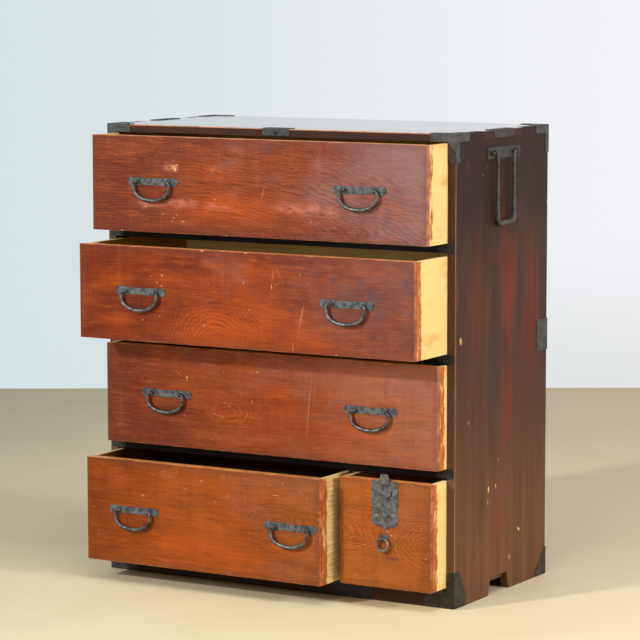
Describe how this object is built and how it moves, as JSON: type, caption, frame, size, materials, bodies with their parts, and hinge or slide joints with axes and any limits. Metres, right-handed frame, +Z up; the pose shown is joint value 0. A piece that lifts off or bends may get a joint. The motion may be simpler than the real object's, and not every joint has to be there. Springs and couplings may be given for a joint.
{
  "type": "clothing chest",
  "caption": "Japanese clothing chest: lacquered drawers with hanging bail handles in an iron-bound wooden case, a locking small drawer, and a swinging carrying handle on each side.",
  "frame": {"origin": "on the floor, at the middle of the case's front edge", "axes": "+X to the right as seen from the front, +Y from the front to the back, +Z up"},
  "size_m": [0.874, 0.5743, 0.9762],
  "materials": {
    "front_wood": "red-brown lacquer, worn satin",
    "pale_wood": "bare pale softwood, aged",
    "case_wood": "dark brown lacquer, worn satin",
    "iron": "black patina, rough"
  },
  "bodies": {
    "case": {"left_side_panel": "case_wood", "right_side_panel": "case_wood", "top_board": "case_wood", "lower_rail": "case_wood", "lower_dust_board": "pale_wood", "middle_rail": "case_wood", "middle_dust_board": "pale_wood", "upper_rail": "case_wood", "upper_dust_board": "pale_wood", "bottom_board": "pale_wood", "base_front_rail": "case_wood", "base_back_rail": "case_wood", "back_boards": "pale_wood", "drawer_partition": "case_wood", "side_handle_irons": "iron", "top_corner_irons": "iron", "base_corner_irons": "iron", "edge_straps": "iron", "top_edge_plate": "iron", "handle_wear_plates": "iron", "joint_plates": "iron"},
    "drawer_1": {"drawer_1_front": "front_wood", "drawer_1_sides": "pale_wood", "drawer_1_back": "pale_wood", "drawer_1_bottom": "pale_wood", "drawer_1_handle_irons": "iron"},
    "drawer_2": {"drawer_2_front": "front_wood", "drawer_2_sides": "pale_wood", "drawer_2_back": "pale_wood", "drawer_2_bottom": "pale_wood", "drawer_2_handle_irons": "iron"},
    "drawer_3": {"drawer_3_front": "front_wood", "drawer_3_sides": "pale_wood", "drawer_3_back": "pale_wood", "drawer_3_bottom": "pale_wood", "drawer_3_handle_irons": "iron"},
    "drawer_4": {"drawer_4_front": "front_wood", "drawer_4_sides": "pale_wood", "drawer_4_back": "pale_wood", "drawer_4_bottom": "pale_wood", "drawer_4_handle_irons": "iron"},
    "drawer_5": {"drawer_5_front": "front_wood", "drawer_5_sides": "pale_wood", "drawer_5_back": "pale_wood", "drawer_5_bottom": "pale_wood", "lock_plate": "iron", "lock_guides": "iron", "ring_irons": "iron"},
    "drawer_1_left_bail": {"drawer_1_bail_left": "iron"},
    "drawer_1_right_bail": {"drawer_1_bail_right": "iron"},
    "drawer_2_left_bail": {"drawer_2_bail_left": "iron"},
    "drawer_2_right_bail": {"drawer_2_bail_right": "iron"},
    "drawer_3_left_bail": {"drawer_3_bail_left": "iron"},
    "drawer_3_right_bail": {"drawer_3_bail_right": "iron"},
    "drawer_4_left_bail": {"drawer_4_bail_left": "iron"},
    "drawer_4_right_bail": {"drawer_4_bail_right": "iron"},
    "ring": {"ring_pull": "iron"},
    "bolt": {"lock_bolt": "iron"},
    "left_carrying_handle": {"side_handle_left": "iron"},
    "right_carrying_handle": {"side_handle_right": "iron"}
  },
  "joints": [
    {"name": "drawer_1_slide", "type": "slide", "parent": "case", "child": "drawer_1", "axis": [0, -1, 0], "range_m": [-0.087, 0.273]},
    {"name": "drawer_2_slide", "type": "slide", "parent": "case", "child": "drawer_2", "axis": [0, -1, 0], "range_m": [-0.138, 0.222]},
    {"name": "drawer_3_slide", "type": "slide", "parent": "case", "child": "drawer_3", "axis": [0, -1, 0], "range_m": [-0.04, 0.32]},
    {"name": "drawer_4_slide", "type": "slide", "parent": "case", "child": "drawer_4", "axis": [0, -1, 0], "range_m": [-0.119, 0.241]},
    {"name": "drawer_5_slide", "type": "slide", "parent": "case", "child": "drawer_5", "axis": [0, -1, 0], "range_m": [-0.066, 0.294]},
    {"name": "drawer_1_left_bail_hinge", "type": "hinge", "parent": "drawer_1", "child": "drawer_1_left_bail", "pos_m": [-0.25, -0.09555, 0.86109], "axis": [-1, 0, 0], "range_deg": [-5, 175]},
    {"name": "drawer_1_right_bail_hinge", "type": "hinge", "parent": "drawer_1", "child": "drawer_1_right_bail", "pos_m": [0.25, -0.09555, 0.86109], "axis": [-1, 0, 0], "range_deg": [-5, 175]},
    {"name": "drawer_2_left_bail_hinge", "type": "hinge", "parent": "drawer_2", "child": "drawer_2_left_bail", "pos_m": [-0.25, -0.14655, 0.63346], "axis": [-1, 0, 0], "range_deg": [-5, 175]},
    {"name": "drawer_2_right_bail_hinge", "type": "hinge", "parent": "drawer_2", "child": "drawer_2_right_bail", "pos_m": [0.25, -0.14655, 0.63346], "axis": [-1, 0, 0], "range_deg": [-5, 175]},
    {"name": "drawer_3_left_bail_hinge", "type": "hinge", "parent": "drawer_3", "child": "drawer_3_left_bail", "pos_m": [-0.25, -0.04855, 0.40454], "axis": [-1, 0, 0], "range_deg": [-5, 175]},
    {"name": "drawer_3_right_bail_hinge", "type": "hinge", "parent": "drawer_3", "child": "drawer_3_right_bail", "pos_m": [0.25, -0.04855, 0.40454], "axis": [-1, 0, 0], "range_deg": [-5, 175]},
    {"name": "drawer_4_left_bail_hinge", "type": "hinge", "parent": "drawer_4", "child": "drawer_4_left_bail", "pos_m": [-0.2835, -0.12755, 0.16002], "axis": [-1, 0, 0], "range_deg": [-5, 175]},
    {"name": "drawer_4_right_bail_hinge", "type": "hinge", "parent": "drawer_4", "child": "drawer_4_right_bail", "pos_m": [0.10475, -0.12755, 0.16002], "axis": [-1, 0, 0], "range_deg": [-5, 175]},
    {"name": "ring_hinge", "type": "hinge", "parent": "drawer_5", "child": "ring", "pos_m": [0.29637, -0.07345, 0.1483], "axis": [-1, 0, 0], "range_deg": [-10, 175]},
    {"name": "bolt_slide", "type": "slide", "parent": "drawer_5", "child": "bolt", "axis": [0, 0, 1], "range_m": [0, 0.008]},
    {"name": "left_carrying_handle_hinge", "type": "hinge", "parent": "case", "child": "left_carrying_handle", "pos_m": [-0.43135, 0.2095, 0.928], "axis": [0, 1, 0], "range_deg": [-0.5, 180]},
    {"name": "right_carrying_handle_hinge", "type": "hinge", "parent": "case", "child": "right_carrying_handle", "pos_m": [0.43135, 0.2095, 0.928], "axis": [0, -1, 0], "range_deg": [-0.5, 180]}
  ]
}
